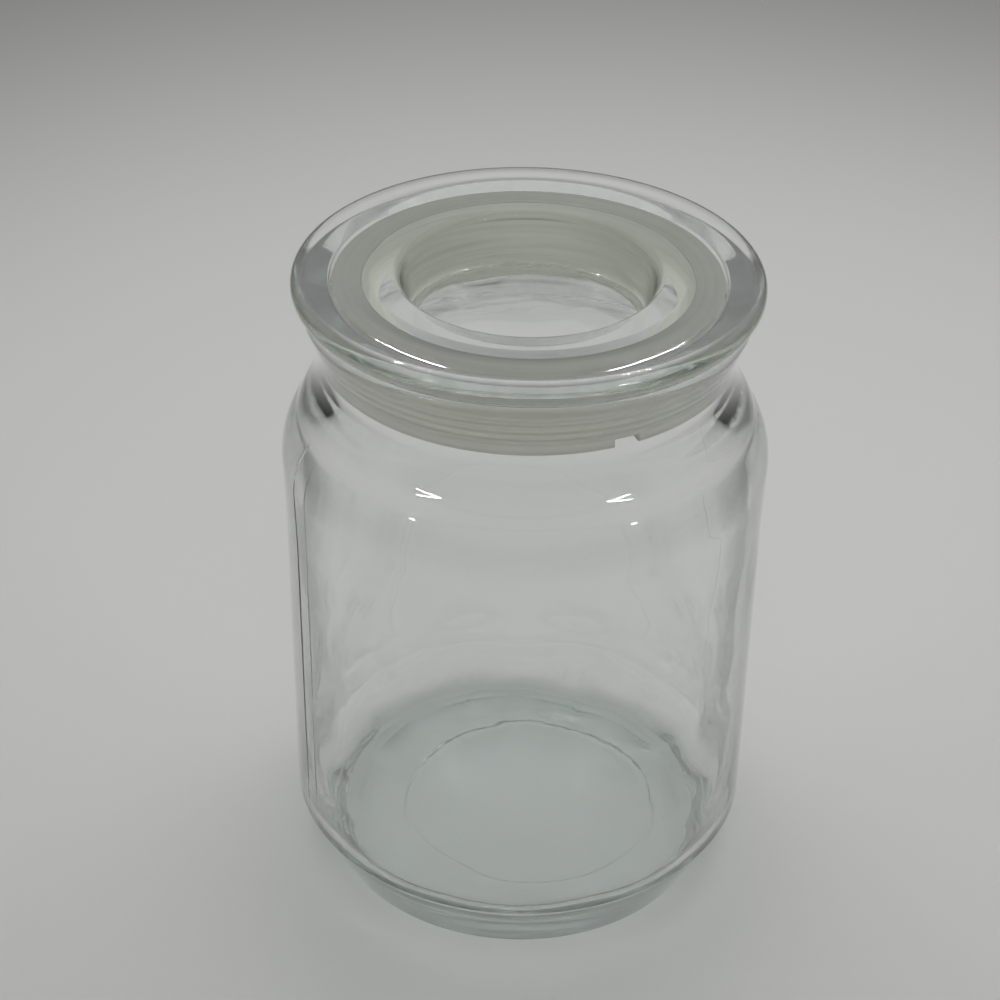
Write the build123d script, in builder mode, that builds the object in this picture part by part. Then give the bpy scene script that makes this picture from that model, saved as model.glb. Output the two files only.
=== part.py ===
"""Lidded glass canister: a moulded glass jar, a flat glass lid with a stopper plug, and a seal ring.

Millimetres, +Z up.  The origin is at the centre of the foot, on the surface that the jar stands on.
Every piece is round about the Z axis, so each one is an outline in the XZ plane, turned once about Z.
"""
import os
from math import cos, radians, sin, tan

from build123d import *

# ---- jar: overall sizes ------------------------------------------------------------------------
body_diameter = 95.0          # straight wall, outside
jar_height = 129.8            # foot to mouth
wall = 3.3                    # straight wall thickness
mouth_inset = 9.9             # the bore is this much smaller in radius than the body

# ---- jar: foot and heel ------------------------------------------------------------------------
foot_inset = 6.9              # outer edge of the foot, in from the body's wall
foot_round = 0.9              # rounding at the foot's outer edge
bearing_width = 3.0           # the flat ring that the jar stands on
push_up = 2.0                 # how far the underside domes up at the middle
heel_height = 14.8            # where the heel's taper meets the straight wall
heel_round = 1.6
base_thickness = 7.5          # inner floor above the foot
inner_corner = 9.5            # inner floor to inner wall

# ---- jar: shoulder, neck and mouth -------------------------------------------------------------
shoulder_bulge = 0.3          # the shoulder stands this far proud of the straight wall
shoulder_rise = 9.7           # widest point of the shoulder to the groove above it
bulge_run = 13.0              # height over which the wall eases out to the bulge
collar_radius = 13.25         # rounded collar between the groove and the neck
collar_start = 17.0           # lean of the collar at the groove, degrees
collar_end = 35.0             # lean of the collar where the neck's hollow starts, degrees
neck_hollow = 14.3            # radius of the hollow under the waist
neck_wall = 2.6               # at the waist
waist_depth = 12.6            # mouth down to the waist
finish_hollow = 16.7          # radius of the hollow above the waist
finish_lean = 20.0            # lean of the finish where it widens to the bead, degrees
finish_wall = 5.1             # at the bead round the mouth
bead_round = 1.2              # where the flare meets the bead
mouth_outer_round = 2.0       # outer edge of the mouth
mouth_round = 0.8             # inner edge of the mouth
bore_depth = 15.0             # straight part of the bore
inner_shoulder = 35.8         # mouth down to the foot of the inner shoulder

# ---- lid ---------------------------------------------------------------------------------------
lid_overhang = 2.1            # rim, out past the jar's bead
rim_below = 2.8               # underside up to the rim's widest point
rim_above = 2.6               # radius of the rim's upper edge
crown_radius = 18.0           # gentle crown of the rim's top
crown_lean = 12.0             # slope on each side of the crown, degrees
plateau_drop = 1.5            # top of the crown down to the flat round the well
plug_wall = 7.6               # lip of the well to the outside of the plug
plug_depth = 12.2             # plug below the lid's underside
plug_round = 2.5
plug_dome = 2.6               # the plug's underside domes up this far at the middle
well_depth = 9.9              # flat down to the well's floor
well_taper = 1.8              # the floor's radius is this much less than the lip's
lip_round = 1.6
well_round = 2.4

# ---- seal ring ---------------------------------------------------------------------------------
seal_depth = 5.3              # plug out to the tips of the ribs
seal_clearance = 0.3          # rib tips to the bore
plug_clearance = 0.1          # the ring turns on the plug with this running clearance
sleeve_wall = 4.4
seal_height = 12.5
rib_count = 5
rib_thickness = 1.0
skirt_height = 3.2            # the flared bottom lip
skirt_thickness = 1.0
notch_width = 5.0             # small gap in the skirt
notch_height = 1.9
notch_angle = -61.5           # about Z, from +X

# ---- sizes that follow -------------------------------------------------------------------------
body_radius = body_diameter / 2
bore_radius = body_radius - mouth_inset
foot_radius = body_radius - foot_inset
finish_radius = bore_radius + finish_wall
lid_radius = finish_radius + lid_overhang
plug_radius = bore_radius - seal_clearance - seal_depth
lip_radius = plug_radius - plug_wall
rib_radius = bore_radius - seal_clearance
ring_inner = plug_radius + plug_clearance
ring_outer = ring_inner + sleeve_wall


def step(point, radius, lean_from, lean_to, hollow=False):
    """The end of an arc that leaves point at one lean from upright and ends at another, going up."""
    side = -1 if hollow else 1
    out = side * radius * (cos(radians(lean_to)) - cos(radians(lean_from)))
    up = side * radius * (sin(radians(lean_to)) - sin(radians(lean_from)))
    return (point[0] + out, point[1] + up)


def lean(degrees):
    """The upward direction of an outline that leans in towards the axis by this many degrees."""
    return (-sin(radians(degrees)), cos(radians(degrees)))


# ---- the jar's outline: the neck is set from the mouth down, the shoulder joins it to the wall ---
waist = (bore_radius + neck_wall, jar_height - waist_depth)
neck_foot = (waist[0] + neck_hollow * (1 - cos(radians(collar_end))),
             waist[1] - neck_hollow * sin(radians(collar_end)))
collar_rise = collar_radius * (sin(radians(collar_end)) - sin(radians(collar_start)))
collar_out = collar_radius * (cos(radians(collar_start)) - cos(radians(collar_end)))
groove = (neck_foot[0] + collar_out, neck_foot[1] - collar_rise)
shoulder = (body_radius + shoulder_bulge, groove[1] - shoulder_rise)
flare = step(waist, finish_hollow, 0, -finish_lean, hollow=True)
bead_foot = (finish_radius, flare[1] + (finish_radius - flare[0]) / tan(radians(finish_lean)))
mouth_outer = (finish_radius, jar_height)
inner_radius = body_radius - wall
inner_shoulder_foot = (inner_radius, jar_height - inner_shoulder)
bore_foot = (bore_radius, jar_height - bore_depth)
inner_turn = ((bore_radius + inner_radius) / 2, (inner_shoulder_foot[1] + bore_foot[1]) / 2)
bearing_inner = foot_radius - foot_round - bearing_width

with BuildPart() as jar:
    with BuildSketch(Plane.XZ) as jar_section:
        with BuildLine():
            # underside: dome, bearing ring, rounded foot, tapered heel
            TangentArc((0, push_up), (bearing_inner, 0), tangent=(1, 0))
            Line((bearing_inner, 0), (foot_radius - foot_round, 0))
            Line((foot_radius - foot_round, 0), (foot_radius, foot_round))
            Line((foot_radius, foot_round), (body_radius, heel_height))
            # straight wall, shoulder, groove, collar, neck
            Line((body_radius, heel_height), (body_radius, shoulder[1] - bulge_run))
            Line((body_radius, shoulder[1] - bulge_run), shoulder)
            TangentArc(shoulder, groove, tangent=lean(0))
            TangentArc(groove, neck_foot, tangent=lean(collar_start))
            TangentArc(neck_foot, waist, tangent=lean(collar_end))
            # finish: flare, bead and mouth
            TangentArc(waist, flare, tangent=lean(0))
            Line(flare, bead_foot)
            Line(bead_foot, mouth_outer)
            Line(mouth_outer, (bore_radius, jar_height))
            # inside: bore, inner shoulder, wall, floor
            Line((bore_radius, jar_height), bore_foot)
            TangentArc(bore_foot, inner_turn, tangent=(0, -1))
            TangentArc(inner_shoulder_foot, inner_turn, tangent=(0, 1))
            Line(inner_shoulder_foot, (inner_radius, base_thickness + inner_corner))
            TangentArc((inner_radius, base_thickness + inner_corner),
                       (inner_radius - inner_corner, base_thickness), tangent=(0, -1))
            Line((inner_radius - inner_corner, base_thickness), (0, base_thickness))
            Line((0, base_thickness), (0, push_up))
        make_face()
        corners = {
            (foot_radius, foot_round): foot_round,
            (body_radius, heel_height): heel_round,
            bead_foot: bead_round,
            mouth_outer: mouth_outer_round,
            (bore_radius, jar_height): mouth_round,
        }
        for place, radius in corners.items():
            corner = jar_section.vertices().sort_by_distance(place)[0]
            fillet(corner, radius)
    revolve(axis=Axis.Z)
jar.part.label = "jar"

# ---- the lid's outline -------------------------------------------------------------------------
rim_point = (lid_radius, jar_height + rim_below)
rim_top = step(rim_point, rim_above, 0, 90 - crown_lean)
crown_inner = (rim_top[0] - 2 * crown_radius * sin(radians(crown_lean)), rim_top[1])
crown_top = rim_top[1] + crown_radius * (1 - cos(radians(crown_lean)))
plateau = crown_top - plateau_drop
slope_run = (crown_inner[1] - plateau) / tan(radians(crown_lean))
plateau_edge = (crown_inner[0] - slope_run, plateau)
well_floor = plateau - well_depth
plug_bottom = jar_height - plug_depth

with BuildPart() as lid:
    with BuildSketch(Plane.XZ) as lid_section:
        with BuildLine():
            TangentArc((0, plug_bottom + plug_dome), (plug_radius, plug_bottom), tangent=(1, 0))
            Line((plug_radius, plug_bottom), (plug_radius, jar_height))
            Line((plug_radius, jar_height), (lid_radius - rim_below, jar_height))
            TangentArc((lid_radius - rim_below, jar_height), rim_point, tangent=(1, 0))
            TangentArc(rim_point, rim_top, tangent=(0, 1))
            TangentArc(rim_top, crown_inner, tangent=lean(90 - crown_lean))
            Line(crown_inner, plateau_edge)
            Line(plateau_edge, (lip_radius, plateau))
            Line((lip_radius, plateau), (lip_radius - well_taper, well_floor))
            Line((lip_radius - well_taper, well_floor), (0, well_floor))
            Line((0, well_floor), (0, plug_bottom + plug_dome))
        make_face()
        corners = {
            (plug_radius, plug_bottom): plug_round,
            (lip_radius, plateau): lip_round,
            (lip_radius - well_taper, well_floor): well_round,
        }
        for place, radius in corners.items():
            corner = lid_section.vertices().sort_by_distance(place)[0]
            fillet(corner, radius)
    revolve(axis=Axis.Z)
lid.part.label = "lid"

# ---- the seal ring: a sleeve on the plug, ribs to the bore and a flared skirt with a notch --------
ring_bottom = jar_height - seal_height
skirt_top = ring_bottom + skirt_height
rib_pitch = (jar_height - skirt_top) / rib_count

with BuildPart() as seal_ring:
    with BuildSketch(Plane.XZ):
        with BuildLine():
            Polyline((ring_inner, jar_height), (ring_outer, jar_height),
                     (ring_outer, skirt_top), (rib_radius, ring_bottom + skirt_thickness),
                     (rib_radius, ring_bottom), (rib_radius - skirt_thickness, ring_bottom),
                     (ring_inner, ring_bottom + skirt_height - skirt_thickness),
                     (ring_inner, jar_height))
        make_face()
        for rib in range(rib_count):
            rib_foot = skirt_top + rib_pitch * (rib + 0.5)
            with BuildLine():
                Polyline((ring_outer - sleeve_wall / 2, rib_foot - rib_thickness),
                         (rib_radius, rib_foot - rib_thickness / 4),
                         (rib_radius, rib_foot + rib_thickness / 4),
                         (ring_outer - sleeve_wall / 2, rib_foot + rib_thickness / 2), close=True)
            make_face()
    revolve(axis=Axis.Z)
    notch_plane = Plane(origin=(0, 0, ring_bottom), x_dir=Vector(1, 0, 0).rotate(Axis.Z, notch_angle),
                        z_dir=(0, 0, 1))
    with BuildSketch(notch_plane):
        with Locations((rib_radius, 0)):
            Rectangle(2 * seal_depth, notch_width)
    extrude(amount=notch_height, mode=Mode.SUBTRACT)
seal_ring.part.label = "seal_ring"

os.makedirs("parts", exist_ok=True)
for piece in (jar.part, lid.part, seal_ring.part):
    export_step(piece, f"parts/{piece.label}.step")
    print(piece.label, "volume", round(piece.volume), "box", piece.bounding_box())
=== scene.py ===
"""Lidded glass canister: a blown glass jar, a pressed glass lid and the frosted ring between them.

Metres, +Z up.  Every piece is round about the Z axis.  Each one is drawn as a section of
(radius, height) points and turned by Geometry Nodes, which also give the glass its mould marks and
its uneven wall.
"""
from math import atan2, ceil, cos, pi, radians, sin, tan

import bpy
from mathutils import Matrix, Vector


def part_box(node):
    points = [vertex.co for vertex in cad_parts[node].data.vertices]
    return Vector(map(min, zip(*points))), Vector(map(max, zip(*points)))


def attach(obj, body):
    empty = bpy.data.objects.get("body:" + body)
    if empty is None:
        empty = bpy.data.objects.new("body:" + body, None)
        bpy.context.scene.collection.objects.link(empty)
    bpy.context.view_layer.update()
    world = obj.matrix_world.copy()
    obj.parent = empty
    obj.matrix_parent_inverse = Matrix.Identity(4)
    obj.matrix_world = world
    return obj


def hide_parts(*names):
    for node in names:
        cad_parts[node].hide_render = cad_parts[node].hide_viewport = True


bl_info = {
    "name": "Lidded Glass Canister",
    "version": (1, 0, 0),
    "blender": (4, 5, 0),
    "location": "3D View > Sidebar > Canister",
    "description": "Builds a lidded glass canister piece by piece around its frame",
    "category": "Add Mesh",
}

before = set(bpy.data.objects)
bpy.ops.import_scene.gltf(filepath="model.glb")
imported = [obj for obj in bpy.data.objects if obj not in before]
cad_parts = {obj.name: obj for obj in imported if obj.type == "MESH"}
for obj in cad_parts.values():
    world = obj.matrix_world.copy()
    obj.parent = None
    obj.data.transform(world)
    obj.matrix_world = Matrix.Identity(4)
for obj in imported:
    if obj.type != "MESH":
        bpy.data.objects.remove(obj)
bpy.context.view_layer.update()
JAR_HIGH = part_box("jar")[1]
LID_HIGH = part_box("lid")[1]
SEAL_LOW, SEAL_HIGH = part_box("seal_ring")
MM = 0.001
TOUCH = 0.05 * MM                      # pieces that rest on each other are drawn this far apart
SEAL_DEPTH = 5.3 * MM                  # the lid's plug out to the tips of the seal ring's ribs
LID_PLUG = SEAL_HIGH.x - SEAL_DEPTH    # radius of the lid's plug


# ---- what a user would change --------------------------------------------------------------------
def length(name, description, millimetres):
    """A property that holds a length, given in millimetres."""
    return bpy.props.FloatProperty(name=name, description=description, default=millimetres * MM,
                                   precision=5, unit="LENGTH")


def angle(name, description, degrees):
    """A property that holds an angle, given in degrees."""
    return bpy.props.FloatProperty(name=name, description=description, default=radians(degrees),
                                   subtype="ANGLE")


def number(name, description, value):
    """A property that holds a plain number."""
    return bpy.props.FloatProperty(name=name, description=description, default=value, precision=4)


def count(name, description, value):
    """A property that holds a whole number."""
    return bpy.props.IntProperty(name=name, description=description, default=value, min=1)


def colour(name, description, value):
    """A property that holds a linear colour."""
    return bpy.props.FloatVectorProperty(name=name, description=description, default=value, size=3,
                                         subtype="COLOR", min=0, max=1)


class JarSizes(bpy.types.PropertyGroup):
    """Sizes of the glass jar; its height and greatest radius come from the frame."""
    wall: length("Wall", "Thickness of the straight wall", 3.3)
    mouth_inset: length("Mouth Inset", "Body radius less bore radius", 9.9)
    foot_inset: length("Foot Inset", "Body radius less foot radius", 6.9)
    foot_round: length("Foot Round", "Rounding at the foot's outer edge", 0.9)
    bearing_width: length("Bearing Width", "The flat ring that the jar stands on", 3.0)
    push_up: length("Push-up", "How far the underside domes up", 2.0)
    heel_height: length("Heel Height", "Where the heel's taper meets the wall", 14.8)
    heel_round: length("Heel Round", "Rounding between heel and wall", 1.6)
    base_thickness: length("Base", "Inner floor above the foot", 7.5)
    inner_corner: length("Inner Corner", "Rounding of inner floor to inner wall", 9.5)
    shoulder_bulge: length("Shoulder Bulge", "The shoulder stands this far proud", 0.3)
    shoulder_rise: length("Shoulder Rise", "Widest point up to the groove", 9.7)
    bulge_run: length("Bulge Run", "Height over which the wall eases out", 13.0)
    collar_radius: length("Collar Radius", "Rounded collar over the groove", 13.25)
    collar_start: angle("Collar Start", "Lean of the collar at the groove", 17.0)
    collar_end: angle("Collar End", "Lean of the collar under the neck", 35.0)
    neck_hollow: length("Neck Hollow", "Radius of the hollow under the waist", 14.3)
    neck_wall: length("Neck Wall", "Thickness at the waist", 2.6)
    waist_depth: length("Waist Depth", "Mouth down to the waist", 12.6)
    finish_hollow: length("Finish Hollow", "Radius of the hollow over the waist", 16.7)
    finish_lean: angle("Finish Lean", "Lean of the flare under the bead", 20.0)
    finish_wall: length("Finish Wall", "Thickness at the bead", 5.1)
    bead_round: length("Bead Round", "Where the flare meets the bead", 1.2)
    mouth_outer: length("Mouth Outer", "Rounding of the mouth's outer edge", 2.0)
    mouth_inner: length("Mouth Inner", "Rounding of the mouth's inner edge", 0.8)
    bore_depth: length("Bore Depth", "Straight part of the bore", 15.0)
    inner_shoulder: length("Inner Shoulder", "Mouth down to its foot", 35.8)
    seam_angle: angle("Seam Angle", "Where the mould's halves met, about Z", 203.5)
    seam_height: length("Seam Height", "How proud the mould seam stands", 0.14)
    seam_width: length("Seam Width", "Half the width of the mould seam", 0.28)
    scar_radius: length("Scar Radius", "Ring mark under the base", 26.6)
    scar_offset: length("Scar Offset", "Ring mark's centre, off the axis", 2.8)
    scar_depth: length("Scar Depth", "Depth of the ring mark", 0.3)
    scar_width: length("Scar Width", "Half the width of the ring mark", 0.4)
    wave_height: length("Wave Height", "Unevenness of the blown wall", 0.55)
    wave_size: length("Wave Size", "Length of the wall's long waves", 28.0)
    slump_height: length("Slump Height", "How far the glass sagged into the inner corner", 3.2)
    slump_rise: length("Slump Rise", "How far the sag runs up the wall and over the floor", 9.0)
    slump_lobes: count("Slump Lobes", "Times that the sag swells round the jar", 10)
    ripple_height: length("Ripple Height", "Height of the wall's short ripples", 0.10)
    ripple_size: length("Ripple Size", "Length of the wall's short ripples", 9.0)
    segments: count("Segments", "Steps round the jar", 320)


class LidSizes(bpy.types.PropertyGroup):
    """Sizes of the glass lid; its radius and top come from the frame."""
    rim_below: length("Rim Below", "Underside up to the rim's widest point", 2.8)
    rim_above: length("Rim Above", "Radius of the rim's upper edge", 2.6)
    crown_radius: length("Crown Radius", "Gentle crown of the rim's top", 18.0)
    crown_lean: angle("Crown Lean", "Slope on each side of the crown", 12.0)
    plateau_drop: length("Plateau Drop", "Crown down to the flat round the well", 1.5)
    plug_wall: length("Plug Wall", "Lip of the well to the plug's outside", 7.6)
    plug_depth: length("Plug Depth", "Plug below the lid's underside", 12.2)
    plug_round: length("Plug Round", "Rounding of the plug's bottom edge", 2.5)
    plug_dome: length("Plug Dome", "How far the plug's underside domes up", 2.6)
    well_depth: length("Well Depth", "Flat down to the well's floor", 9.9)
    well_taper: length("Well Taper", "Lip radius less floor radius", 1.8)
    lip_round: length("Lip Round", "Rounding of the well's lip", 1.6)
    well_round: length("Well Round", "Rounding of the well's floor edge", 2.4)
    wave_height: length("Wave Height", "Unevenness of the plug's underside", 0.5)
    wave_size: length("Wave Size", "Length of the long waves", 20.0)
    ripple_height: length("Ripple Height", "Height of the short ripples", 0.06)
    ripple_size: length("Ripple Size", "Length of the short ripples", 7.0)
    segments: count("Segments", "Steps round the lid", 384)


class SealSizes(bpy.types.PropertyGroup):
    """Sizes of the seal ring; its height and greatest radius come from the frame."""
    plug_clearance: length("Plug Clearance", "Running clearance on the plug", 0.1)
    sleeve_wall: length("Sleeve Wall", "Thickness of the sleeve", 4.4)
    rib_thickness: length("Rib Thickness", "Thickness of each rib", 1.0)
    skirt_height: length("Skirt Height", "Height of the flared bottom lip", 3.2)
    skirt_thickness: length("Skirt Thickness", "Thickness of the bottom lip", 1.0)
    notch_width: length("Notch Width", "Width of the gap in the skirt", 5.0)
    notch_height: length("Notch Height", "Height of the gap in the skirt", 1.9)
    notch_angle: angle("Notch Angle", "Where the gap is, about Z", -61.5)
    ribs: count("Ribs", "Number of ribs", 5)
    segments: count("Segments", "Steps round the ring", 288)


class GlassLook(bpy.types.PropertyGroup):
    """Colour and clarity of the glass, and the painted shade at its edges."""
    tint: colour("Tint", "What the glass passes", (0.78, 0.86, 0.835))
    # painted shade: the glass takes this dark colour where its faces turn edge on, to draw dark
    # outlines
    edge: colour("Edge", "What a face passes where it turns edge on", (0.13, 0.15, 0.15))
    density: number("Density", "How strongly thick glass is tinted, per metre", 20.0)
    index: number("Index", "Refractive index of the glass", 1.52)
    shade: colour("Shade", "Light that one face lets on to the floor", (0.955, 0.965, 0.96))
    rim_shade: colour("Rim Shade", "The same where the face turns edge on", (0.50, 0.55, 0.54))


class RingLook(bpy.types.PropertyGroup):
    """Colour and finish of the seal ring, and the painted shade on its top."""
    body: colour("Body", "Colour of the ring", (0.88, 0.87, 0.79))
    shade: colour("Shade", "Colour of its faint streaks", (0.78, 0.77, 0.69))
    # painted shade: the ring's top takes this colour, much darker than its own, where it lies on
    # the lid's glass
    pressed: colour("Pressed", "Colour of its top, pressed to the lid's glass", (0.30, 0.30, 0.265))
    roughness: number("Roughness", "Roughness of the moulded face", 0.48)
    clearness: number("Clearness", "Share of light that passes through", 0.08)


class StageLook(bpy.types.PropertyGroup):
    """The floor, the lights and the camera."""
    floor: colour("Floor", "Colour of the floor", (0.64, 0.64, 0.625))
    # painted shade: the far floor's colour is this share of the near floor's, darker away from a
    # painted pool of light
    far_floor: number("Far Floor", "Brightness of the far floor as a share of the near", 0.45)
    room: colour("Room", "Colour of the room's light", (0.46, 0.46, 0.455))
    lens: number("Lens", "Focal length in millimetres", 81.08)
    distance: length("Distance", "Camera to the Z axis", 376.13)
    height: length("Height", "Camera above the floor", 332.16)
    pitch: angle("Pitch", "Camera's tilt below the horizon", 33.604)
    yaw: angle("Yaw", "Camera's turn about the vertical", -0.728)
    roll: angle("Roll", "Camera's turn about its own axis", -0.837)
    soft_power: number("Soft Light", "Power of the overhead soft light, watts", 0.62)
    fill_power: number("Fill Light", "Power of the low front light, watts", 0.85)
    lamp_power: number("Lamp Strength", "Brightness of each small lamp", 700.0)
    lamps: count("Lamps", "Small lamps in each row", 19)


# ---- sections ------------------------------------------------------------------------------------
def arc_points(start, heading, end, steps):
    """Points of the arc that leaves start along heading and stops at end; start is left out."""
    run = end - start
    side = Vector((-heading.y, heading.x))
    reach = run.dot(side)
    centre = start + side * run.length_squared / (2 * reach)
    sweep = 2 * atan2(reach, run.dot(heading))
    return [centre + Matrix.Rotation(sweep * step / steps, 2) @ (start - centre)
            for step in range(1, steps + 1)]


def lean(tilt):
    """The upward direction that leans in towards the axis by an angle."""
    return Vector((-sin(tilt), cos(tilt)))


def rise(point, radius, lean_from, lean_to, side=1):
    """The end of an arc that goes up from point, from one lean to another; side -1 is hollow."""
    out, up = cos(lean_to) - cos(lean_from), sin(lean_to) - sin(lean_from)
    return point + side * radius * Vector((out, up))


class Section:
    """A piece's outline in (radius, height), and how much of each effect a point takes."""
    effects = ("wave", "seam", "scar", "slump", "contact")

    def __init__(self, start):
        self.points = [Vector(start)]
        self.shares = [(0.0,) * len(self.effects)]

    def add(self, points, **shares):
        """Adds points that all take the same share of each effect."""
        self.points += points
        self.shares += [tuple(shares.get(effect, 0.0) for effect in self.effects)] * len(points)

    def line(self, end, spacing, **shares):
        """A straight run to end, with points about spacing apart."""
        start, end = self.points[-1], Vector(end)
        steps = max(1, ceil((end - start).length / spacing))
        self.add([start.lerp(end, step / steps) for step in range(1, steps + 1)], **shares)

    def arc(self, end, heading, steps, **shares):
        """An arc to end that starts along heading."""
        self.add(arc_points(self.points[-1], Vector(heading), Vector(end), steps), **shares)

    def corner(self, place, after, radius, spacing, steps=6, **shares):
        """A straight run towards place, and a round there that turns towards after."""
        place, after = Vector(place), Vector(after)
        back = (self.points[-1] - place).normalized()
        onward = (after - place).normalized()
        reach = radius / tan(back.angle(onward) / 2)
        self.line(place + back * reach, spacing, **shares)
        self.arc(place + onward * reach, -back, steps, **shares)

    def softened(self):
        """The shares with their jumps eased along the outline."""
        shares = [Vector(share) for share in self.shares]
        last, passes = len(shares) - 1, 6
        for _ in range(passes):
            shares = [(shares[max(i - 1, 0)] + shares[i] + shares[min(i + 1, last)]) / 3
                      for i in range(len(shares))]
        return shares

    def mesh(self, name):
        """A mesh of the outline's points and edges, with one attribute for each effect."""
        mesh = bpy.data.meshes.new(name)
        spots = [(point.x, 0, point.y) for point in self.points]
        mesh.from_pydata(spots, [(i, i + 1) for i in range(len(spots) - 1)], [])
        shares = self.softened()
        for column, effect in enumerate(self.effects):
            values = [share[column] for share in shares]
            mesh.attributes.new(effect, "FLOAT", "POINT").data.foreach_set("value", values)
        return mesh


def jar_section(s):
    """The jar from the axis under its base, up the outside, over the mouth and down the inside."""
    height = JAR_HIGH.z
    body = JAR_HIGH.x - s.shoulder_bulge
    bore = body - s.mouth_inset
    foot = body - s.foot_inset
    bead = bore + s.finish_wall
    inside = body - s.wall
    bearing_inner = foot - s.foot_round - s.bearing_width

    waist = Vector((bore + s.neck_wall, height - s.waist_depth))
    neck_foot = waist + s.neck_hollow * Vector((1 - cos(s.collar_end), -sin(s.collar_end)))
    groove = rise(neck_foot, s.collar_radius, s.collar_end, s.collar_start)
    shoulder = Vector((JAR_HIGH.x, groove.y - s.shoulder_rise))
    flare = rise(waist, s.finish_hollow, 0, -s.finish_lean, side=-1)
    bead_foot = Vector((bead, flare.y + (bead - flare.x) / tan(s.finish_lean)))
    shoulder_foot = Vector((inside, height - s.inner_shoulder))
    bore_foot = Vector((bore, height - s.bore_depth))
    inner_turn = (shoulder_foot + bore_foot) / 2
    easing = (body, shoulder.y - s.bulge_run)
    worn_foot = 0.6 * s.foot_round

    section = Section((0, s.push_up))
    section.arc((bearing_inner, 0), (1, 0), 80, scar=1)
    section.line((foot - s.foot_round, 0), 0.5 * MM)
    section.corner((foot, s.foot_round), (body, s.heel_height), worn_foot, 0.3 * MM)
    section.corner((body, s.heel_height), easing, s.heel_round, 3 * MM)
    section.line(easing, 5 * MM, seam=1)
    section.line(shoulder, 1.6 * MM, seam=1)
    section.arc(groove, lean(0), 12, seam=0.6)
    section.arc(neck_foot, lean(s.collar_start), 8)
    section.arc(waist, lean(s.collar_end), 10)
    section.arc(flare, lean(0), 6)
    section.corner(bead_foot, (bead, height), s.bead_round, 2 * MM)
    section.corner((bead, height), (bore, height), s.mouth_outer, 2 * MM, steps=8)
    section.corner((bore, height), bore_foot, s.mouth_inner, 2 * MM)
    section.line(bore_foot, 2 * MM, wave=0.05)
    section.arc(inner_turn, lean(pi), 10, wave=0.5)
    downward = arc_points(shoulder_foot, Vector((0, 1)), inner_turn, 10)
    section.add(downward[-2::-1] + [shoulder_foot], wave=1)
    floor_start = Vector((inside, s.base_thickness + s.inner_corner))
    section.line(floor_start + Vector((0, s.slump_rise)), 2 * MM, wave=1)
    section.line(floor_start, 1 * MM, wave=1, slump=0.5)
    section.arc((inside - s.inner_corner, s.base_thickness), (0, -1), 16, wave=1.5, slump=1)
    floor_end = (inside - s.inner_corner - s.slump_rise, s.base_thickness)
    section.line(floor_end, 1 * MM, wave=1, slump=0.3)
    section.line((0, s.base_thickness), 1.6 * MM, wave=0.5)
    return section


def lid_section(s):
    """The lid from the axis under its domed plug, out round the rim and in over the well."""
    radius, seat = LID_HIGH.x, JAR_HIGH.z + TOUCH
    plug, bottom = LID_PLUG, JAR_HIGH.z - s.plug_depth
    lip = plug - s.plug_wall
    rim = Vector((radius, JAR_HIGH.z + s.rim_below))
    slope = pi / 2 - s.crown_lean
    rim_top = rise(rim, s.rim_above, 0, slope)
    crown_inner = rim_top - Vector((2 * s.crown_radius * sin(s.crown_lean), 0))
    crown_top = rim_top.y + s.crown_radius * (1 - cos(s.crown_lean))
    plateau = crown_top - s.plateau_drop
    plateau_edge = (crown_inner.x - (crown_inner.y - plateau) / tan(s.crown_lean), plateau)
    well_floor = plateau - s.well_depth
    floor_edge = lip - s.well_taper

    dome_end = plug - 1.4 * s.plug_round
    dome_drop = s.plug_dome * (1 - (dome_end / plug) ** 2)
    rim_foot = (radius - s.rim_below, seat)
    section = Section((0, bottom + s.plug_dome))
    section.arc((dome_end, bottom + dome_drop), (1, 0), 28, wave=1)
    section.corner((plug, bottom), (plug, seat), s.plug_round, 1 * MM, steps=10, contact=1)
    section.corner((plug, seat), rim_foot, 0.3 * MM, 1.2 * MM, steps=3, contact=1)
    section.line((SEAL_HIGH.x, seat), 1.2 * MM, contact=1)
    section.line(rim_foot, 1.5 * MM)
    section.arc(rim, (1, 0), 12)
    section.arc(rim_top, lean(0), 12)
    section.arc(crown_inner, lean(slope), 16)
    section.corner(plateau_edge, (lip, plateau), 2 * MM, 1 * MM)
    section.corner((lip, plateau), (floor_edge, well_floor), s.lip_round, 1 * MM, steps=10)
    section.corner((floor_edge, well_floor), (0, well_floor), s.well_round, 1 * MM, steps=10)
    section.line((0, well_floor), 1.2 * MM, wave=0.25)
    return section


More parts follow.
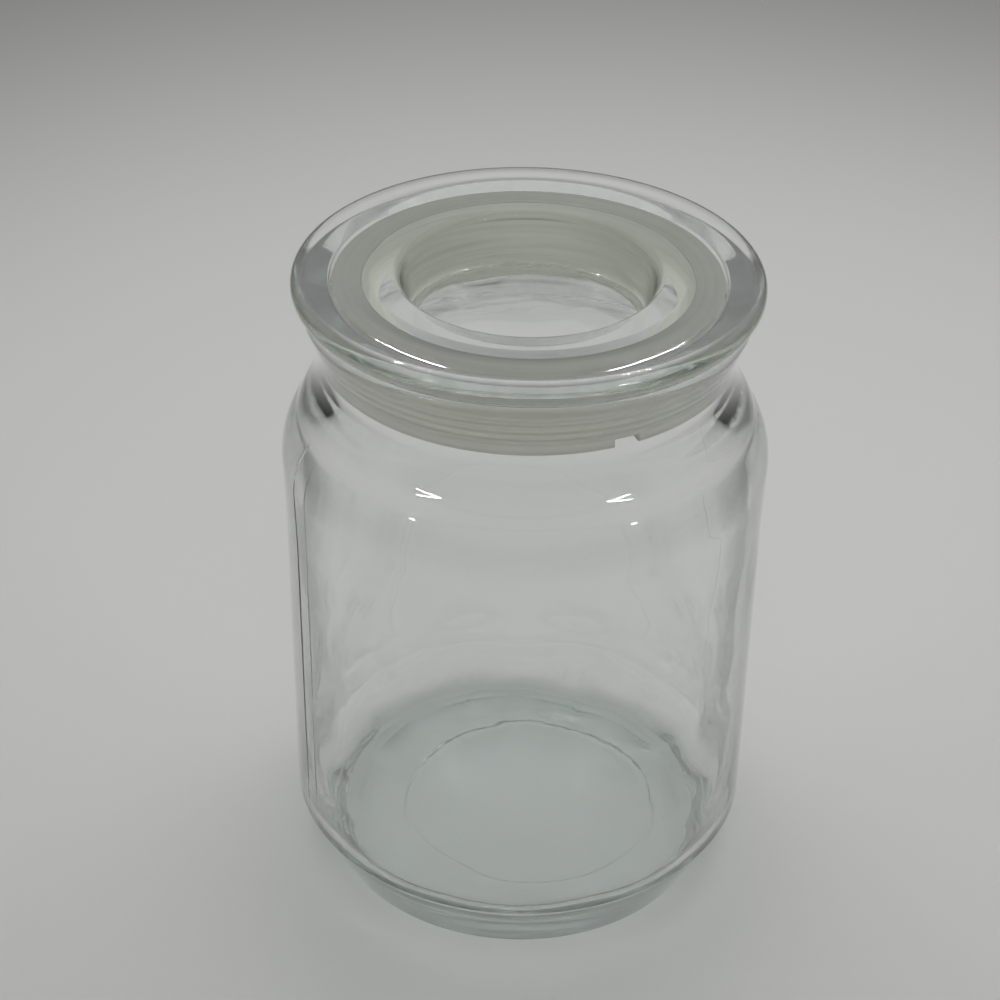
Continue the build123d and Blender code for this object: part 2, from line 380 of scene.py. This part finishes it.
def seal_section(s):
    """The seal ring from its top, down the ribs, round the skirt and up the inside."""
    top, bottom, tip = SEAL_HIGH.z - TOUCH, SEAL_LOW.z, SEAL_HIGH.x
    inner = LID_PLUG + s.plug_clearance
    outer = inner + s.sleeve_wall
    skirt_top = bottom + s.skirt_height
    pitch = (top - skirt_top) / s.ribs
    half_tip = s.rib_thickness / 4
    edge = 0.2 * MM

    section = Section((inner + edge, top))
    section.corner((outer, top), (outer, bottom), edge, 1 * MM, steps=3)
    for rib in reversed(range(s.ribs)):
        middle = skirt_top + pitch * (rib + 0.5)
        rib_root = Vector((outer, middle + s.rib_thickness / 2))
        upper, lower = Vector((tip, middle + half_tip)), Vector((tip, middle - half_tip))
        rib_under = Vector((outer, middle - s.rib_thickness))
        section.corner(rib_root, upper, edge, 1 * MM, steps=3)
        section.corner(upper, lower, half_tip * 0.9, 1 * MM, steps=4)
        section.corner(lower, rib_under, half_tip * 0.9, 1 * MM, steps=4)
        section.corner(rib_under, (outer, bottom), edge, 1 * MM, steps=3)
    skirt_tip, skirt_foot = (tip, bottom + s.skirt_thickness), (tip, bottom)
    skirt_heel = (tip - s.skirt_thickness, bottom)
    skirt_root = (inner, bottom + s.skirt_height - s.skirt_thickness)
    section.corner((outer, skirt_top), skirt_tip, edge, 1 * MM, steps=3)
    section.corner(skirt_tip, skirt_foot, edge, 1 * MM, steps=3)
    section.corner(skirt_foot, skirt_heel, edge, 1 * MM, steps=3)
    section.corner(skirt_heel, skirt_root, edge, 1 * MM, steps=3)
    section.corner(skirt_root, (inner, top), edge, 1 * MM, steps=3)
    section.corner((inner, top), (outer, top), edge, 1 * MM, steps=3)
    section.points.reverse()
    return section


# ---- node trees ----------------------------------------------------------------------------------
class Tree:
    """A thin hand for wiring a node tree."""

    def __init__(self, tree):
        self.tree = tree

    def feed(self, socket, value):
        """Links a socket to an input, or sets the input's own value."""
        if isinstance(value, bpy.types.NodeSocket):
            self.tree.links.new(value, socket)
        else:
            socket.default_value = value

    def add(self, kind, inputs=None, **settings):
        """A new node with its settings, and its inputs by name or number."""
        node = self.tree.nodes.new(kind)
        for name, value in settings.items():
            setattr(node, name, value)
        for key, value in (inputs or {}).items():
            self.feed(node.inputs[key], value)
        return node

    def maths(self, operation, *values):
        """The result of a Math node."""
        return self.add("ShaderNodeMath", dict(enumerate(values)), operation=operation).outputs[0]

    def vector(self, operation, *values):
        """The result of a Vector Math node; a scale factor is its fourth input."""
        slots = (0, 3) if operation == "SCALE" else range(len(values))
        node = self.add("ShaderNodeVectorMath", dict(zip(slots, values)), operation=operation)
        return node.outputs["Value" if operation == "LENGTH" else "Vector"]

    def split(self, vector):
        """The three parts of a vector."""
        return self.add("ShaderNodeSeparateXYZ", {0: vector}).outputs

    def join(self, x, y, z):
        """A vector from three parts."""
        return self.add("ShaderNodeCombineXYZ", {0: x, 1: y, 2: z}).outputs[0]

    def noise(self, place, scale, seed, detail=2.0):
        """Smooth seeded noise, about 0 to 1."""
        inputs = {"Vector": place, "W": seed, "Scale": scale, "Detail": detail}
        return self.add("ShaderNodeTexNoise", inputs, noise_dimensions="4D").outputs["Fac"]

    def ramp(self, value, low, high, to_low=0.0, to_high=1.0):
        """A smooth step from one value to another."""
        inputs = {"Value": value, "From Min": low, "From Max": high, "To Min": to_low,
                  "To Max": to_high}
        return self.add("ShaderNodeMapRange", inputs, interpolation_type="SMOOTHSTEP").outputs[0]

    def blend(self, factor, *colours):
        """A mix of two colours, each a plain colour or a node's output."""
        first, second = (part if isinstance(part, bpy.types.NodeSocket) else (*part, 1)
                         for part in colours)
        inputs = {"Factor": factor, 6: first, 7: second}
        return self.add("ShaderNodeMix", inputs, data_type="RGBA").outputs[2]


def new_group(name, kind, inputs, outputs):
    """A node group with named sockets; gives the tree, its inputs and its output node."""
    tree = bpy.data.node_groups.new(name, kind)
    for side, sockets in (("INPUT", inputs), ("OUTPUT", outputs)):
        for label, socket_kind in sockets:
            tree.interface.new_socket(label, in_out=side, socket_type="NodeSocket" + socket_kind)
    wiring = Tree(tree)
    return wiring, wiring.add("NodeGroupInput").outputs, wiring.add("NodeGroupOutput")


def turning_group():
    """Turns a section about Z, with the steps crowded near a seam and its partner opposite."""
    if "turned_section" in bpy.data.node_groups:
        return bpy.data.node_groups["turned_section"]
    t, given, out = new_group(
        "turned_section", "GeometryNodeTree",
        [("Geometry", "Geometry"), ("Segments", "Int"), ("Crowding", "Float"),
         ("Seam Angle", "Float")],
        [("Geometry", "Geometry")])
    outline = {"Geometry": given["Geometry"]}
    rows = t.add("GeometryNodeAttributeDomainSize", outline, component="MESH").outputs[0]
    columns = t.maths("ADD", given["Segments"], 1)
    sheet = t.add("GeometryNodeMeshGrid", {"Vertices X": columns, "Vertices Y": rows}).outputs[0]
    index = t.add("GeometryNodeInputIndex").outputs[0]
    row = t.maths("MODULO", index, rows)
    column = t.maths("FLOOR", t.maths("DIVIDE", index, rows))
    for effect in Section.effects:
        named = t.add("GeometryNodeInputNamedAttribute", {"Name": effect}, data_type="FLOAT")
        share = t.add("GeometryNodeSampleIndex",
                      {**outline, "Value": named.outputs["Attribute"], "Index": row})
        sheet = t.add("GeometryNodeStoreNamedAttribute",
                      {"Geometry": sheet, "Name": effect, "Value": share.outputs[0]}).outputs[0]
    spot = t.add("GeometryNodeSampleIndex",
                 {**outline, "Value": t.add("GeometryNodeInputPosition").outputs[0], "Index": row},
                 data_type="FLOAT_VECTOR")
    radius, _, height = t.split(spot.outputs[0])
    even = t.maths("MULTIPLY", t.maths("DIVIDE", column, given["Segments"]), 2 * pi)
    double = t.maths("MULTIPLY", t.maths("SUBTRACT", even, given["Seam Angle"]), 2.0)
    half = t.maths("MULTIPLY", given["Crowding"], 0.5)
    crowd = t.maths("MULTIPLY", half, t.maths("SINE", double))
    turn = t.maths("SUBTRACT", even, crowd)
    x = t.maths("MULTIPLY", radius, t.maths("COSINE", turn))
    y = t.maths("MULTIPLY", radius, t.maths("SINE", turn))
    placed = t.add("GeometryNodeSetPosition", {"Geometry": sheet, "Position": t.join(x, y, height)})
    same_point = 0.0002 * MM
    closed = t.add("GeometryNodeMergeByDistance",
                   {"Geometry": placed.outputs[0], "Distance": same_point})
    t.feed(out.inputs[0], closed.outputs[0])
    return t.tree


def turned(t, given, crowding=0.0, seam_angle=0.0):
    """The turned section inside another tree."""
    inputs = {"Geometry": given["Geometry"], "Segments": given["Segments"], "Crowding": crowding,
              "Seam Angle": seam_angle}
    return t.add("GeometryNodeGroup", inputs, node_tree=turning_group()).outputs[0]


def share_of(t, effect):
    """How much of an effect each point takes."""
    return t.add("GeometryNodeInputNamedAttribute", {"Name": effect}, data_type="FLOAT").outputs[0]


def waves(t, given):
    """Long waves and short ripples of the glass, where the section asks for them."""
    place = t.add("GeometryNodeInputPosition").outputs[0]
    swell, middle = 0.0, 0.5
    for kind in ("Wave", "Ripple"):
        wave = t.noise(place, t.maths("DIVIDE", 1.0, given[kind + " Size"]), given["Seed"], 1.0)
        height = given[kind + " Height"]
        swell = t.maths("MULTIPLY_ADD", t.maths("SUBTRACT", wave, middle), height, swell)
    return t.maths("MULTIPLY", swell, share_of(t, "wave"))


WAVE_SOCKETS = [("Wave Height", "Float"), ("Wave Size", "Float"), ("Ripple Height", "Float"),
                ("Ripple Size", "Float"), ("Seed", "Float")]


def moved(t, shape, offset):
    """The shape with its points moved along their normals."""
    normal = t.add("GeometryNodeInputNormal").outputs[0]
    push = t.vector("SCALE", normal, offset)
    return t.add("GeometryNodeSetPosition", {"Geometry": shape, "Offset": push}).outputs[0]


def finished(t, shape, given, out, contact=False):
    """Ends a tree: smooth faces, plain geometry and its material; another where the ring clings."""
    smooth = t.add("GeometryNodeSetShadeSmooth", {"Geometry": shape})
    plain = t.add("GeometryNodeRealizeInstances", {"Geometry": smooth.outputs[0]})
    painted = t.add("GeometryNodeSetMaterial", {"Geometry": plain.outputs[0],
                                                "Material": given["Material"]})
    if contact:
        half = 0.5
        touched = t.maths("GREATER_THAN", share_of(t, "contact"), half)
        painted = t.add("GeometryNodeSetMaterial",
                        {"Geometry": painted.outputs[0], "Selection": touched,
                         "Material": given["Contact Material"]})
    t.feed(out.inputs[0], painted.outputs[0])
    return t.tree


def jar_tree():
    """A blown jar: a turned section with seams, a ring mark, sagged glass and an uneven wall."""
    t, given, out = new_group(
        "blown_jar", "GeometryNodeTree",
        [("Geometry", "Geometry"), ("Segments", "Int"), ("Crowding", "Float"),
         ("Seam Angle", "Float"), ("Seam Height", "Float"), ("Seam Width", "Float"),
         ("Scar Radius", "Float"), ("Scar Offset", "Float"), ("Scar Depth", "Float"),
         ("Scar Width", "Float"), ("Slump Height", "Float"), ("Slump Lobes", "Int"),
         *WAVE_SOCKETS, ("Material", "Material")],
        [("Geometry", "Geometry")])
    shape = turned(t, given, given["Crowding"], given["Seam Angle"])
    x, y, _ = t.split(t.add("GeometryNodeInputPosition").outputs[0])
    cosine, sine = (t.maths(kind, given["Seam Angle"]) for kind in ("COSINE", "SINE"))
    across = t.maths("SUBTRACT", t.maths("MULTIPLY", y, cosine), t.maths("MULTIPLY", x, sine))
    along = t.maths("ADD", t.maths("MULTIPLY", x, cosine), t.maths("MULTIPLY", y, sine))
    partner = 0.35            # the seam opposite stands this share as high
    seam = t.maths("MULTIPLY", bell(t, across, given["Seam Width"]),
                   t.ramp(along, -10 * MM, 10 * MM, partner))
    seam = t.maths("MULTIPLY", t.maths("MULTIPLY", seam, given["Seam Height"]), share_of(t, "seam"))
    from_centre = t.vector("LENGTH", t.join(t.maths("SUBTRACT", x, given["Scar Offset"]), y, 0.0))
    scar = bell(t, t.maths("SUBTRACT", from_centre, given["Scar Radius"]), given["Scar Width"])
    scar = t.maths("MULTIPLY", t.maths("MULTIPLY", scar, given["Scar Depth"]), share_of(t, "scar"))
    slump = t.maths("MULTIPLY", sagging(t, given, x, y), share_of(t, "slump"))
    marks = t.maths("ADD", t.maths("SUBTRACT", seam, scar), slump)
    offset = t.maths("ADD", marks, waves(t, given))
    return finished(t, moved(t, shape, offset), given, out)


def sagging(t, given, x, y):
    """How far the glass sagged at a place: unevenly, in lobes, and mostly at the back."""
    level, uneven_share, uneven_scale, lobe_share, front_share = 0.35, 0.5, 28.0, 0.4, 0.12
    turn = t.maths("ARCTAN2", x, t.maths("MULTIPLY", y, -1.0))
    lobe = t.maths("COSINE", t.maths("MULTIPLY", turn, given["Slump Lobes"]))
    uneven = t.noise(t.join(x, y, 0.0), uneven_scale, given["Seed"], 0.0)
    swell = t.maths("ADD", t.maths("MULTIPLY_ADD", uneven, uneven_share, level),
                    t.maths("MULTIPLY", lobe, -lobe_share))
    swell = t.maths("MULTIPLY", swell, t.ramp(y, -30 * MM, 40 * MM, front_share))
    return t.maths("MULTIPLY", swell, given["Slump Height"])


def bell(t, distance, width):
    """1 on a line, falling to 0 within about twice the width."""
    ratio = t.maths("DIVIDE", distance, width)
    return t.maths("EXPONENT", t.maths("MULTIPLY", t.maths("MULTIPLY", ratio, ratio), -1.0))


def lid_tree():
    """A pressed lid: a turned section with an uneven underside."""
    t, given, out = new_group(
        "pressed_lid", "GeometryNodeTree",
        [("Geometry", "Geometry"), ("Segments", "Int"), *WAVE_SOCKETS, ("Material", "Material"),
         ("Contact Material", "Material")],
        [("Geometry", "Geometry")])
    return finished(t, moved(t, turned(t, given), waves(t, given)), given, out, contact=True)


def seal_tree():
    """A moulded ring: a turned section with a gap cut in its skirt."""
    t, given, out = new_group(
        "moulded_ring", "GeometryNodeTree",
        [("Geometry", "Geometry"), ("Segments", "Int"), ("Notch Size", "Vector"),
         ("Notch Place", "Vector"), ("Notch Angle", "Float"), ("Material", "Material")],
        [("Geometry", "Geometry")])
    block = t.add("GeometryNodeMeshCube", {"Size": given["Notch Size"]}).outputs["Mesh"]
    block = t.add("GeometryNodeTransform", {"Geometry": block, "Translation": given["Notch Place"]})
    block = t.add("GeometryNodeTransform", {"Geometry": block.outputs[0],
                                            "Rotation": t.join(0.0, 0.0, given["Notch Angle"])})
    cut = t.add("GeometryNodeMeshBoolean", {0: turned(t, given), 1: block.outputs[0]},
                operation="DIFFERENCE", solver="EXACT")
    return finished(t, cut.outputs[0], given, out)


def lamp_tree():
    """A row of small round lamps between two points, facing down."""
    t, given, out = new_group(
        "lamp_row", "GeometryNodeTree",
        [("Geometry", "Geometry"), ("Start", "Vector"), ("End", "Vector"), ("Lamps", "Int"),
         ("Radius", "Float"), ("Material", "Material")],
        [("Geometry", "Geometry")])
    row = t.add("GeometryNodeMeshLine", {"Count": given["Lamps"], "Start Location": given["Start"],
                                         "Offset": given["End"]}, mode="END_POINTS")
    lamp = t.add("GeometryNodeMeshCircle", {"Vertices": 6, "Radius": given["Radius"]},
                 fill_type="NGON")
    placed = t.add("GeometryNodeInstanceOnPoints", {"Points": row.outputs[0],
                                                    "Instance": lamp.outputs["Mesh"]})
    return finished(t, placed.outputs[0], given, out)


def grown(name, mesh, tree, values, sizes=None):
    """An object whose plain mesh is what a tree makes of a mesh.

    An input of the tree takes its value by name, or else the size of the same name.
    """
    piece = bpy.data.objects.new(name, mesh)
    bpy.context.scene.collection.objects.link(piece)
    modifier = piece.modifiers.new(tree.name, "NODES")
    modifier.node_group = tree
    for item in tree.interface.items_tree:
        field = item.name.lower().replace(" ", "_")
        if item.in_out == "INPUT" and item.name in values:
            modifier[item.identifier] = values[item.name]
        elif item.in_out == "INPUT" and hasattr(sizes, field):
            modifier[item.identifier] = getattr(sizes, field)
    evaluated = piece.evaluated_get(bpy.context.evaluated_depsgraph_get())
    made = bpy.data.meshes.new_from_object(evaluated)
    piece.modifiers.clear()
    piece.data = made
    made.name = name
    if made.materials[0] is None:
        made.materials.pop(index=0)
    for effect in Section.effects:
        if effect in made.attributes:
            made.attributes.remove(made.attributes[effect])
    return piece


# ---- materials -----------------------------------------------------------------------------------
def new_material(name):
    """An empty node material with its output; gives the material, its tree and the output node."""
    material = bpy.data.materials.new(name)
    material.use_nodes = True
    material.node_tree.nodes.clear()
    tree = Tree(material.node_tree)
    return material, tree, tree.add("ShaderNodeOutputMaterial")


def place_on_piece(t):
    """The place on the piece, in metres."""
    return t.add("ShaderNodeTexCoord").outputs["Object"]


def skin_group():
    """What handling and moulding leave on a surface: fine peel, and marks that dull it."""
    if "moulded_skin" in bpy.data.node_groups:
        return bpy.data.node_groups["moulded_skin"]
    t, given, out = new_group(
        "moulded_skin", "ShaderNodeTree",
        [("Place", "Vector"), ("Peel Size", "Float"), ("Mark Size", "Float"), ("Marks", "Float"),
         ("Clean Roughness", "Float"), ("Marked Roughness", "Float")],
        [("Height", "Float"), ("Roughness", "Float"), ("Marks", "Float")])
    peel = t.noise(given["Place"], t.maths("DIVIDE", 1.0, given["Peel Size"]), 3.0, 1.0)
    blot = t.noise(given["Place"], t.maths("DIVIDE", 1.0, given["Mark Size"]), 8.0, 4.0)
    unmarked, marking, softness = 0.78, 0.3, 0.08
    edge = t.maths("SUBTRACT", unmarked, t.maths("MULTIPLY", given["Marks"], marking))
    marks = t.ramp(blot, edge, t.maths("ADD", edge, softness))
    rough = t.add("ShaderNodeMix", {"Factor": marks, 2: given["Clean Roughness"],
                                    3: given["Marked Roughness"]})
    t.feed(out.inputs["Height"], peel)
    t.feed(out.inputs["Roughness"], rough.outputs[0])
    t.feed(out.inputs["Marks"], marks)
    return t.tree


def skin(t, place, peel_size, mark_size, marks, clean, marked):
    """The shared skin with one material's own values."""
    values = {"Place": place, "Peel Size": peel_size, "Mark Size": mark_size, "Marks": marks,
              "Clean Roughness": clean, "Marked Roughness": marked}
    return t.add("ShaderNodeGroup", values, node_tree=skin_group()).outputs


def clear_glass(name, look, peel_size, peel_height, marks, bump_more=None):
    """Clear glass with a faint tint in its depth, which lets light through to what is behind it,
    and painted shade where its faces turn edge on.
    """
    material, t, output = new_material(name)
    place = place_on_piece(t)
    surface = skin(t, place, peel_size, 11 * MM, marks, 0.0, 0.12)
    height = surface["Height"] if bump_more is None else bump_more(t, place, surface["Height"])
    bump = t.add("ShaderNodeBump", {"Height": height, "Strength": 1.0, "Distance": peel_height})
    facing = t.add("ShaderNodeLayerWeight", {"Blend": 0.5}).outputs["Facing"]
    # painted shade: the glass's colour darkens towards the edge colour as its faces turn edge on to
    # the view
    outline_shade_from, outline_shade_full = 0.54, 0.9
    edge = t.blend(t.ramp(facing, outline_shade_from, outline_shade_full), (1, 1, 1), look.edge)
    glass = t.add("ShaderNodeBsdfPrincipled",
                  {"Base Color": edge, "Roughness": surface["Roughness"], "IOR": look.index,
                   "Transmission Weight": 1.0, "Coat Weight": 1.0, "Coat Roughness": 0.03,
                   "Coat IOR": 1.35, "Normal": bump.outputs[0]})
    shade = t.blend(facing, look.shade, look.rim_shade)
    passing = t.add("ShaderNodeBsdfTransparent", {"Color": shade})
    shadow = t.add("ShaderNodeLightPath").outputs["Is Shadow Ray"]
    both = t.add("ShaderNodeMixShader", {0: shadow, 1: glass.outputs[0], 2: passing.outputs[0]})
    depth = t.add("ShaderNodeVolumeAbsorption", {"Color": (*look.tint, 1), "Density": look.density})
    t.feed(output.inputs["Surface"], both.outputs[0])
    t.feed(output.inputs["Volume"], depth.outputs[0])
    return material


def knurled_foot(t, place, height):
    """Adds the short radial ticks on the ring that the jar stands on to a bump height."""
    tick_count, tick_height = 170.0, 0.3
    x, y, z = t.split(place)
    ticks = t.maths("SINE", t.maths("MULTIPLY", t.maths("ARCTAN2", y, x), tick_count))
    low = t.ramp(z, 0.02 * MM, 0.3 * MM, 1.0, 0.0)
    return t.maths("MULTIPLY_ADD", t.maths("MULTIPLY", ticks, low), tick_height, height)


def frosted_vinyl(name, look, clearness, painted_shade_from=1.0):
    """Soft frosted plastic, faintly streaked round the ring, with painted shade above a height."""
    material, t, output = new_material(name)
    place = place_on_piece(t)
    dulled = look.roughness + 0.15
    surface = skin(t, place, 0.9 * MM, 6 * MM, 0.6, look.roughness, dulled)
    x, y, z = t.split(place)
    radius = t.vector("LENGTH", t.join(x, y, 0.0))
    streak_scale, drawn_out, streak_shade = 900.0, 0.03, 0.88
    streak = t.noise(t.join(radius, z, t.maths("MULTIPLY", x, drawn_out)), streak_scale, 2.0, 3.0)
    streak = t.ramp(streak, 0.35, 0.7)
    tone = t.blend(streak, look.body, look.shade)
    # painted shade: above the height the tone turns to the darker painted colour, streaked the same
    # way
    painted_shade_streak = tuple(streak_shade * part for part in look.pressed)
    painted_shade_tone = t.blend(streak, look.pressed, painted_shade_streak)
    pressed = t.ramp(z, painted_shade_from, painted_shade_from + 0.4 * MM)
    tone = t.blend(pressed, tone, painted_shade_tone)
    bump = t.add("ShaderNodeBump",
                 {"Height": surface["Height"], "Strength": 1.0, "Distance": 0.05 * MM})
    shader = t.add("ShaderNodeBsdfPrincipled",
                   {"Base Color": tone, "Roughness": surface["Roughness"], "IOR": 1.45,
                    "Transmission Weight": clearness, "Normal": bump.outputs[0]})
    t.feed(output.inputs["Surface"], shader.outputs[0])
    return material


def matte_floor(look):
    """The pale floor, with a painted pool of light round the canister and painted shade further
    off, faintly uneven and clear from below.
    """
    material, t, output = new_material("pale_floor")
    place = place_on_piece(t)
    # painted light: the floor's colour is brightest in a pool round the canister and fades to the
    # darker far share further off
    painted_light_centre, painted_light_radius, painted_shade_radius = (0.02, 0.12, 0.0), 0.16, 0.56
    unevenness = 0.04
    blotch = t.noise(place, 6.0, 1.0, 3.0)
    from_painted_light = t.vector("LENGTH", t.vector("SUBTRACT", place, painted_light_centre))
    painted_fade = t.ramp(from_painted_light, painted_light_radius, painted_shade_radius)
    level = t.maths("MULTIPLY", painted_fade,
                    t.maths("MULTIPLY_ADD", blotch, unevenness, 1 - unevenness))
    far = tuple(part * look.far_floor for part in look.floor)
    tone = t.blend(level, look.floor, far)
    shader = t.add("ShaderNodeBsdfPrincipled", {"Base Color": tone, "Roughness": 0.6})
    from_below = t.add("ShaderNodeNewGeometry").outputs["Backfacing"]
    clear = t.add("ShaderNodeBsdfTransparent")
    one_sided = t.add("ShaderNodeMixShader",
                      {0: from_below, 1: shader.outputs[0], 2: clear.outputs[0]})
    t.feed(output.inputs["Surface"], one_sided.outputs[0])
    return material


def glowing(name, strength):
    """A plain lamp."""
    material, t, output = new_material(name)
    glow = t.add("ShaderNodeEmission", {"Color": (1, 1, 1, 1), "Strength": strength})
    t.feed(output.inputs["Surface"], glow.outputs[0])
    return material


# ---- operators -----------------------------------------------------------------------------------
class BuildCamera(bpy.types.Operator):
    """Make the camera that looks down on the canister"""
    bl_idname = "canister.camera"
    bl_label = "Camera"

    def execute(self, context):
        look = context.scene.canister_stage
        ahead = Vector((sin(look.yaw) * cos(look.pitch), cos(look.yaw) * cos(look.pitch),
                        -sin(look.pitch)))
        level = Vector((cos(look.yaw), -sin(look.yaw), 0))
        below = ahead.cross(level)
        right = cos(look.roll) * level + sin(look.roll) * below
        down = cos(look.roll) * below - sin(look.roll) * level
        camera = bpy.data.objects.new("camera", bpy.data.cameras.new("camera"))
        camera.data.sensor_width = 36
        camera.data.lens = look.lens
        camera.data.clip_start = 0.01
        turn = Matrix((right, -down, -ahead)).transposed()
        camera.matrix_world = Matrix.Translation((0, -look.distance, look.height)) @ turn.to_4x4()
        context.scene.collection.objects.link(camera)
        context.scene.camera = camera
        return {"FINISHED"}


class BuildJar(bpy.types.Operator):
    """Make the glass jar"""
    bl_idname = "canister.jar"
    bl_label = "Jar"

    def execute(self, context):
        s = context.scene.canister_jar
        glass = clear_glass("clear_jar_glass", context.scene.canister_glass, 4 * MM, 0.012 * MM,
                            0.25, knurled_foot)
        jar = grown("glass_jar", jar_section(s).mesh("jar_section"), jar_tree(),
                    {"Crowding": 0.85, "Seed": 4.0, "Material": glass}, s)
        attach(jar, "jar")
        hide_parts("jar")
        return {"FINISHED"}


class BuildLid(bpy.types.Operator):
    """Make the glass lid"""
    bl_idname = "canister.lid"
    bl_label = "Lid"

    def execute(self, context):
        s = context.scene.canister_lid
        glass = clear_glass("clear_lid_glass", context.scene.canister_glass, 5 * MM, 0.01 * MM, 0.2)
        look = context.scene.canister_ring_look
        # painted shade: the lid's underside above this height, where it lies on the ring, takes the
        # darker painted colour
        clinging = frosted_vinyl("clinging_vinyl", look, 0.0, JAR_HIGH.z - 0.4 * MM)
        lid = grown("glass_lid", lid_section(s).mesh("lid_section"), lid_tree(),
                    {"Seed": 9.0, "Material": glass, "Contact Material": clinging}, s)
        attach(lid, "lid")
        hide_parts("lid")
        return {"FINISHED"}


class BuildSeal(bpy.types.Operator):
    """Make the frosted seal ring"""
    bl_idname = "canister.seal"
    bl_label = "Seal Ring"

    def execute(self, context):
        s = context.scene.canister_seal
        look = context.scene.canister_ring_look
        vinyl = frosted_vinyl("frosted_vinyl", look, look.clearness)
        size = (2 * SEAL_DEPTH, s.notch_width, 2 * s.notch_height)
        place = (SEAL_HIGH.x, 0, SEAL_LOW.z)
        ring = grown("frosted_seal_ring", seal_section(s).mesh("seal_section"), seal_tree(),
                     {"Notch Size": size, "Notch Place": place, "Material": vinyl}, s)
        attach(ring, "seal_ring")
        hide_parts("seal_ring")
        return {"FINISHED"}


class BuildStage(bpy.types.Operator):
    """Make the floor, the soft light and the rows of small lamps"""
    bl_idname = "canister.stage"
    bl_label = "Stage"

    def execute(self, context):
        look = context.scene.canister_stage
        self.floor(look)
        self.soft_light(context, "soft_panel", (0.35, 0.12), look.soft_power, (0.03, 0.17, 0.42), 0)
        self.soft_light(context, "front_fill", (0.5, 0.3), look.fill_power, (0, -0.6, 0.35), 65)
        self.lamps(look)
        self.room(context, look)
        context.scene.view_settings.view_transform = "Standard"
        cycles = context.scene.cycles
        cycles.max_bounces = 40
        cycles.transmission_bounces = 40
        cycles.glossy_bounces = 16
        cycles.transparent_max_bounces = 40
        return {"FINISHED"}

    def floor(self, look):
        """A wide flat floor."""
        reach = 4.0
        mesh = bpy.data.meshes.new("floor")
        corners = [(-reach, -reach, 0), (reach, -reach, 0), (reach, reach, 0), (-reach, reach, 0)]
        mesh.from_pydata(corners, [], [(0, 1, 2, 3)])
        mesh.materials.append(matte_floor(look))
        floor = bpy.data.objects.new("floor", mesh)
        bpy.context.scene.collection.objects.link(floor)

    def soft_light(self, context, name, size, power, place, tilt):
        """A wide soft light, tilted forwards by so many degrees, that the glass doesn't mirror."""
        panel = bpy.data.lights.new(name, "AREA")
        panel.shape = "RECTANGLE"
        panel.size, panel.size_y = size
        panel.energy = power
        lamp = bpy.data.objects.new(name, panel)
        lamp.location = place
        lamp.rotation_euler = (radians(tilt), 0, 0)
        lamp.visible_glossy = False
        lamp.visible_transmission = False
        context.scene.collection.objects.link(lamp)

    def lamps(self, look):
        """Rows of small lamps round and over the canister, which only show in the glass."""
        tree = lamp_tree()
        near = glowing("near_lamp", look.lamp_power)
        far_share = 0.17
        far = glowing("far_lamp", far_share * look.lamp_power)
        rows = {"over": ((0.085, 0.09, 0.40), (0.165, 0.09, 0.40), 1 * MM, near),
                "behind": ((0.050, 0.23, 0.40), (0.080, 0.36, 0.40), 1 * MM, near),
                "front": ((0.36, -0.42, 0.40), (0.53, -0.40, 0.40), 4 * MM, far)}
        for place, (*ends, radius, glow) in rows.items():
            for side, mirror in (("left", -1), ("right", 1)):
                start, end = (Vector((mirror * x, y, z)) for x, y, z in ends)
                row = grown(f"lamps_{place}_{side}", bpy.data.meshes.new("lamp_row"), tree,
                            {"Start": start, "End": end, "Lamps": look.lamps, "Radius": radius,
                             "Material": glow})
                row.visible_camera = False
                row.visible_diffuse = False
                row.visible_transmission = False

    def room(self, context, look):
        """Soft light from all round, dimmer from the front and from low down."""
        world = bpy.data.worlds.new("room")
        context.scene.world = world
        world.use_nodes = True
        world.node_tree.nodes.clear()
        t = Tree(world.node_tree)
        output = t.add("ShaderNodeOutputWorld")
        x, y, z = t.split(t.add("ShaderNodeTexCoord").outputs["Generated"])
        back = t.ramp(y, -0.9, 0.3, 0.65, 1.0)
        above = t.ramp(z, -0.02, 0.5, 0.42, 1.15)
        strength = t.maths("MULTIPLY", back, above)
        glow = t.add("ShaderNodeBackground", {"Color": (*look.room, 1), "Strength": strength})
        t.feed(output.inputs["Surface"], glow.outputs[0])


class CanisterPanel(bpy.types.Panel):
    """Lists what can be built, with the sizes and colours that can be changed"""
    bl_idname = "VIEW3D_PT_canister"
    bl_label = "Glass Canister"
    bl_space_type = "VIEW_3D"
    bl_region_type = "UI"
    bl_category = "Canister"

    def draw(self, context):
        for group_name in GROUPS:
            box = self.layout.box()
            group = getattr(context.scene, group_name)
            for field in group.bl_rna.properties:
                if field.identifier not in ("rna_type", "name"):
                    box.prop(group, field.identifier)
        for operator in OPERATORS:
            self.layout.operator(operator.bl_idname)


GROUPS = {
    "canister_jar": JarSizes,
    "canister_lid": LidSizes,
    "canister_seal": SealSizes,
    "canister_glass": GlassLook,
    "canister_ring_look": RingLook,
    "canister_stage": StageLook,
}
OPERATORS = (BuildCamera, BuildJar, BuildLid, BuildSeal, BuildStage)


def register():
    """Registers the classes and puts the sizes and colours on the scene."""
    for group in GROUPS.values():
        bpy.utils.register_class(group)
    for operator in OPERATORS:
        bpy.utils.register_class(operator)
    bpy.utils.register_class(CanisterPanel)
    for name, group in GROUPS.items():
        setattr(bpy.types.Scene, name, bpy.props.PointerProperty(type=group))


def unregister():
    """Takes the sizes, colours and classes away again."""
    for name in GROUPS:
        delattr(bpy.types.Scene, name)
    for kind in (CanisterPanel, *reversed(OPERATORS), *reversed(GROUPS.values())):
        bpy.utils.unregister_class(kind)


def main():
    register()
    bpy.ops.canister.camera()
    bpy.ops.canister.jar()
    bpy.ops.canister.lid()
    bpy.ops.canister.seal()
    bpy.ops.canister.stage()
    bpy.context.view_layer.update()


if __name__ == "__main__":
    main()
